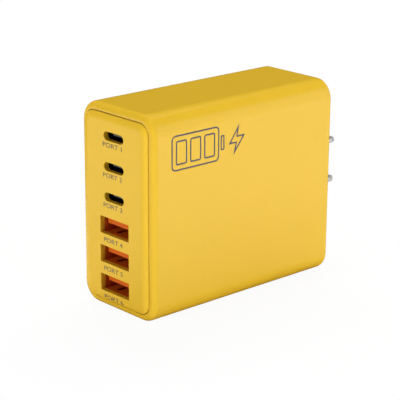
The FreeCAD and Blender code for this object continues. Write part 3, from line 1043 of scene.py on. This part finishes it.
@dataclass
class PrintedMarks:
    """Plain print: a charging sign in outline on the broad side and a number under each port."""

    housing: Housing
    plate: PortPlate
    film: float = 0.02 * MM
    stroke: float = 0.46 * MM
    rounding_steps: int = 5
    sign_start: float = -28.7 * MM
    sign_foot: float = 43.8 * MM
    battery_size: Pair = (17.8 * MM, 10.2 * MM)
    battery_rounding: float = 1.5 * MM
    terminal_size: Pair = (1.5 * MM, 4.4 * MM)
    terminal_gap: float = 0.5 * MM
    terminal_rounding: float = 0.5 * MM
    cells: int = 3
    cell_margin: float = 1.6 * MM
    cell_gap: float = 1.1 * MM
    cell_rounding: float = 0.7 * MM
    bolt_gap: float = 1.6 * MM
    bolt_size: Pair = (6.4 * MM, 9.0 * MM)
    bolt_shape: tuple[Pair, ...] = (
        (0.64, 1.00), (0.00, 0.38), (0.42, 0.38), (0.30, 0.00), (1.00, 0.62), (0.54, 0.62))
    label_width: float = 8.2 * MM
    label_height: float = 1.35 * MM
    label_middle: float = -0.55 * MM
    label_drop_c: float = 2.55 * MM
    label_drop_a: float = 4.2 * MM
    label_bend_step: float = 0.1 * MM
    pieces: list[Object] = field(init=False)

    def build(self) -> None:
        """Make the charging sign on the housing and the numbers on the plate."""
        place = Side.BROAD.frame(Vector((self.housing.high.x, self.sign_start, self.sign_foot)))
        self.pieces = [self.outlined(sign, place) for sign in self.signs()] + self.labels()

    def dress(self, wardrobe: Wardrobe) -> None:
        """Give every mark the ink."""
        for piece in self.pieces:
            wardrobe.dress(piece, "ink", INK)

    def signs(self) -> list[Sign]:
        """Draw the charging sign.

        Returns:
            The battery, its cells and the bolt beside it.
        """
        length, height = self.battery_size
        foot = (height - self.terminal_size[1]) / 2.0
        terminal_start = length + self.terminal_gap
        terminal = rectangle((terminal_start, foot), self.terminal_size)
        made = [Sign("sign_battery", rectangle((0.0, 0.0), self.battery_size), self.battery_rounding),
                Sign("sign_terminal", terminal, self.terminal_rounding)]
        room = length - 2.0 * self.cell_margin - (self.cells - 1) * self.cell_gap
        cell = (room / self.cells, height - 2.0 * self.cell_margin)
        for count in range(self.cells):
            corner = (self.cell_margin + count * (cell[0] + self.cell_gap), self.cell_margin)
            made.append(Sign(f"sign_cell_{count + 1}", rectangle(corner, cell), self.cell_rounding))
        start = terminal_start + self.terminal_size[0] + self.bolt_gap
        bolt_width, bolt_height = self.bolt_size
        rise = (height - bolt_height) / 2.0
        bolt = tuple((start + x * bolt_width, rise + y * bolt_height) for x, y in self.bolt_shape)
        made.append(Sign("sign_bolt", bolt))
        return made

    def outlined(self, sign: Sign, place: Matrix) -> Object:
        """Print a line along a sign's edge.

        Args:
            sign: The sign.
            place: Where the drawing's origin goes.

        Returns:
            The printed piece.
        """
        bm = bmesh.new()
        area = bm.faces.new([bm.verts.new((*corner, 0.0)) for corner in sign.corners])
        area.normal_update()
        if sign.rounding:
            bmesh.ops.bevel(bm, geom=area.verts[:], offset=sign.rounding, offset_type="OFFSET",
                            segments=self.rounding_steps, profile=0.5, affect="VERTICES", material=-1,
                            clamp_overlap=True)
        areas = bm.faces[:]
        bmesh.ops.inset_individual(bm, faces=areas, thickness=self.stroke, use_even_offset=True)
        bmesh.ops.delete(bm, geom=areas, context="FACES_ONLY")
        bmesh.ops.solidify(bm, geom=bm.faces[:], thickness=-self.film)
        bmesh.ops.recalc_face_normals(bm, faces=bm.faces)
        mesh = bpy.data.meshes.new(sign.name)
        bm.to_mesh(mesh)
        bm.free()
        return self.printed(sign.name, mesh, place)

    def labels(self) -> list[Object]:
        """Print a number under each port, from the top down.

        Returns:
            One piece for each port.
        """
        pieces = []
        kinds = (("type_c_insulator", self.label_drop_c), ("type_a_insulator", self.label_drop_a))
        places = [(f"{kind}_{number}", drop) for kind, drop in kinds for number in self.plate.ports]
        for count, (node, drop) in enumerate(places, start=1):
            low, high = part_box(node)
            middle = Vector((self.label_middle, self.plate.front, (low.z + high.z) / 2.0 - drop))
            label = self.lettered(f"port_label_{count}", f"PORT {count}", Side.PORTS.frame(middle))
            self.bend(label.data)
            pieces.append(label)
        return pieces

    def bend(self, mesh: Mesh) -> None:
        """Bend a label back where the plate's lower edge curves away under it.

        Args:
            mesh: The label, in its place.
        """
        bm = bmesh.new()
        bm.from_mesh(mesh)
        foot = min(vert.co.z for vert in bm.verts)
        cut = self.plate.flat_foot
        while cut > foot:
            bmesh.ops.bisect_plane(bm, geom=bm.verts[:] + bm.edges[:] + bm.faces[:], dist=Workpiece.NEAR,
                                   plane_co=(0.0, 0.0, cut), plane_no=(0.0, 0.0, 1.0))
            cut -= self.label_bend_step
        for vert in bm.verts:
            vert.co.y += self.plate.set_back(vert.co.z)
        bm.to_mesh(mesh)
        bm.free()

    def lettered(self, name: str, words: str, place: Matrix) -> Object:
        """Print words in the built-in letters.

        Args:
            name: The piece's name.
            words: What to print.
            place: Where its middle goes.

        Returns:
            The printed piece.
        """
        letters = bpy.data.curves.new(name, "FONT")
        letters.body = words
        letters.extrude = self.film
        source = linked(name, letters)
        sight = bpy.context.evaluated_depsgraph_get()
        mesh = bpy.data.meshes.new_from_object(source.evaluated_get(sight))
        bpy.data.objects.remove(source)
        bpy.data.curves.remove(letters)
        axes = list(zip(*(vert.co for vert in mesh.vertices)))
        low, high = (Vector(map(pick, axes)) for pick in (min, max))
        size = high - low
        fit = Matrix.Diagonal((self.label_width / size.x, self.label_height / size.y, 1.0, 1.0))
        mesh.transform(fit @ Matrix.Translation((low + high) / -2.0))
        return self.printed(name, mesh, place)

    def printed(self, name: str, mesh: Mesh, place: Matrix) -> Object:
        """Bring a flat drawing to its face as a film of ink.

        Args:
            name: The piece's name.
            mesh: The drawing.
            place: Where it goes.

        Returns:
            The printed piece, riding on the frame.
        """
        mesh.transform(place)
        mesh.shade_flat()
        piece = linked(name, mesh)
        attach(piece, BODY)
        log.info("printed %s: %d faces", name, len(mesh.polygons))
        return piece


@dataclass(frozen=True)
class Lamp:
    """A soft lamp: its direction in degrees, its level on a surface that faces it, and its size."""

    name: str
    azimuth: float
    elevation: float
    level: float
    width: float = 0.8
    height: float = 0.45


@dataclass(frozen=True)
class PaintedDimWedge:
    """A part of the floor, opening away from the charger, where the floor's painted reflection is dimmed to
    painted shade.

    It lies along a heading in degrees. Its edges run ahead by the slope for each step across. The painted
    reflection goes from dark to white between the two distances.
    """

    heading: float
    slope: float
    dark_from: float
    white_to: float

    def shade(self, sheet: MaterialSheet) -> NodeSocket:
        """Grade the floor's painted reflection from nothing inside the wedge to one outside it.

        Args:
            sheet: The floor's material.

        Returns:
            The share of the painted reflection's white that stays.
        """
        ahead = sheet.along(sheet.place, self.heading)
        aside = sheet.along(sheet.place, self.heading + RIGHT_ANGLE)
        across = sheet.add("ShaderNodeMath", {0: aside}, operation="ABSOLUTE").outputs["Value"]
        depth = sheet.add("ShaderNodeMath", {0: across, 1: -self.slope, 2: ahead},
                          operation="MULTIPLY_ADD").outputs["Value"]
        return sheet.between(depth, self.dark_from, self.white_to)


@dataclass
class Studio:
    """A pale floor, a soft sky and a ring of soft lamps."""

    floor_radius: float = 12.0
    floor_facets: int = 96
    floor_gap: float = 0.05 * MM
    floor_colour: Colour = (0.88, 0.88, 0.88)
    floor_seen: float = 0.95
    # Reflections see the floor as a painted white glow, dimmed nearer in, with painted shade at the foot and
    # in the dim wedges.
    painted_reflection_range: Pair = (0.4, 1.0)
    painted_reflection_reach: Pair = (1.0, 7.3)
    painted_foot_shade_reach: Pair = (1.0, 2.2)
    wedges: tuple[PaintedDimWedge, ...] = (
        PaintedDimWedge(35.0, 0.364, 48.0 * MM, 38.0 * MM),
        PaintedDimWedge(228.5, 0.114, 50.0 * MM, 20.0 * MM),
    )
    # A screen in the sky that only reflections see: a painted reflection, which lights nothing.
    painted_screen_heading: float = 140.0
    painted_screen_width: Pair = (0.60, 0.75)
    painted_screen_height: Pair = (0.64, 0.50)
    sky_low: float = 0.02
    sky_high: float = 0.10
    lamp_distance: float = 1.2
    aim: Vector = Vector((0.0, 0.0, 28.0 * MM))
    lamps: tuple[Lamp, ...] = (
        Lamp("front_lamp", -4.0, 10.0, 0.532, 0.28, 0.24),
        Lamp("side_lamp", 91.0, 10.0, 0.628, 0.28, 0.24),
        Lamp("rear_lamp", 180.0, 12.0, 0.36),
        Lamp("left_lamp", 272.0, 12.0, 0.31),
        Lamp("top_lamp", 225.0, 58.0, 0.78),
        Lamp("overhead_lamp", 47.0, 86.0, 0.13),
    )

    def build(self) -> None:
        """Make the floor, the sky and the lamps."""
        self.make_floor()
        self.make_sky()
        for lamp in self.lamps:
            self.make_lamp(lamp)

    def make_floor(self) -> None:
        """Make a round floor that is white to the eye and keeps a faint shadow, and whose reflections are a
        painted white glow with painted shade near its foot.
        """
        bm = bmesh.new()
        bmesh.ops.create_circle(bm, cap_ends=True, segments=self.floor_facets, radius=self.floor_radius,
                                matrix=Matrix.Translation((0.0, 0.0, -self.floor_gap)))
        mesh = bpy.data.meshes.new("floor")
        bm.to_mesh(mesh)
        bm.free()
        floor = linked("floor", mesh)
        floor.data.materials.append(self.floor_material())

    def floor_material(self) -> Material:
        """Mix a matt floor with plain white for the eye and with a painted reflection glow for the
        reflections that show it.

        Returns:
            The floor's material.
        """
        sheet = MaterialSheet("studio_floor")
        sheet.finish(Base_Color=(*self.floor_colour, 1.0), Roughness=1.0, Specular_IOR_Level=0.0)
        seen, mirrored = sheet.ray_kinds()
        # Reflections see only this painted glow, with its painted shade.
        level = sheet.larger(seen, sheet.times(mirrored, self.painted_reflection_level(sheet)))
        glow = sheet.add("ShaderNodeEmission", {"Strength": level}).outputs["Emission"]
        white = sheet.larger(sheet.span(seen, 0.0, self.floor_seen), mirrored)
        mix = sheet.add("ShaderNodeMixShader", {0: white, 1: sheet.shader.outputs["BSDF"], 2: glow})
        sheet.tree.links.new(mix.outputs["Shader"], sheet.tree.nodes["Material Output"].inputs["Surface"])
        return sheet.material

    def painted_reflection_level(self, sheet: MaterialSheet) -> NodeSocket:
        """Grade the floor's painted reflection glow as reflections show it.

        Args:
            sheet: The floor's material.

        Returns:
            A level that falls towards the charger's foot as painted shade, and to nothing in the dim wedges.
        """
        half = (CAD_BOX[1] - CAD_BOX[0]) / 2.0
        scale = (1.0 / half.x, 1.0 / half.y, 0.0)
        place = sheet.add("ShaderNodeMapping", {"Vector": sheet.place, "Scale": scale}).outputs["Vector"]
        reach = sheet.add("ShaderNodeVectorMath", {0: place}, operation="LENGTH").outputs["Value"]
        level = sheet.span(sheet.between(reach, *self.painted_reflection_reach), *self.painted_reflection_range)
        level = sheet.times(level, sheet.between(reach, *self.painted_foot_shade_reach))
        for wedge in self.wedges:
            level = sheet.times(level, wedge.shade(sheet))
        return level

    def make_sky(self) -> None:
        """Make a sky that is white to the eye and dim to the charger, with a painted reflection of a screen
        that only reflections see.
        """
        world = bpy.data.worlds.new("studio_sky")
        world.use_nodes = True
        bpy.context.scene.world = world
        sheet = NodeSheet(world.node_tree)
        direction = sheet.add("ShaderNodeTexCoord").outputs["Generated"]
        height = sheet.add("ShaderNodeSeparateXYZ", {"Vector": direction}).outputs["Z"]
        across = sheet.along(direction, self.painted_screen_heading)
        # The painted screen shows only in reflections.
        painted_screen = sheet.times(sheet.between(across, *self.painted_screen_width),
                             sheet.between(height, *self.painted_screen_height))
        seen, mirrored = sheet.ray_kinds()
        white = sheet.larger(seen, sheet.times(mirrored, painted_screen))
        level = sheet.span(sheet.times(height, height), self.sky_low, self.sky_high)
        sheet.feed(sheet.tree.nodes["Background"],
                   {"Color": WHITE, "Strength": sheet.larger(white, level)})

    def make_lamp(self, lamp: Lamp) -> None:
        """Set up a soft lamp that points at the charger.

        Args:
            lamp: Where it stands and how bright it is, where a level of 1 makes white.
        """
        light = bpy.data.lights.new(lamp.name, "AREA")
        light.shape = "RECTANGLE"
        light.size = lamp.width
        light.size_y = lamp.height
        light.energy = lamp.level * (math.pi * self.lamp_distance) ** 2
        holder = linked(lamp.name, light)
        back = direction_from(lamp.azimuth, lamp.elevation)
        holder.location = self.aim + back * self.lamp_distance
        holder.rotation_euler = back.to_track_quat("Z", "Y").to_euler()
        holder.visible_glossy = False


@dataclass
class PhotoCamera:
    """The camera at the photograph's viewing angle."""

    azimuth: float = 47.609
    elevation: float = 17.552
    roll: float = 0.386
    distance: float = 451.907 * MM
    lens: float = 138.913
    sensor: float = 36.0
    clip_factor: float = 100.0
    aim: Vector = Vector((1.441 * MM, -5.0 * MM, 27.633 * MM))

    def place(self) -> None:
        """Set the camera up."""
        lens = bpy.data.cameras.new("photo_camera")
        lens.sensor_width = self.sensor
        lens.lens = self.lens
        lens.clip_start = self.distance / self.clip_factor
        lens.clip_end = self.distance * self.clip_factor
        camera = linked("photo_camera", lens)
        back = direction_from(self.azimuth, self.elevation)
        roll = Matrix.Rotation(math.radians(self.roll), 3, "Z").to_quaternion()
        turn = back.to_track_quat("Z", "Y") @ roll
        camera.location = self.aim + back * self.distance
        camera.rotation_euler = turn.to_euler()
        bpy.context.scene.camera = camera


def main() -> None:
    """Set up the camera and the studio, and build the charger's looks."""
    logging.basicConfig(level=logging.INFO, format="%(message)s")
    PhotoCamera().place()
    Studio().build()
    bpy.context.scene.view_settings.view_transform = "Standard"

    wardrobe = Wardrobe()
    housing = Housing()
    plate = PortPlate(housing)
    tabs = SnapTabs(plate)
    marks = PrintedMarks(housing, plate)
    housing.build(tabs)
    plate.build(tabs)
    marks.build()
    for part in (housing, plate, marks, FrameSolids()):
        part.dress(wardrobe)


if __name__ == "__main__":
    main()
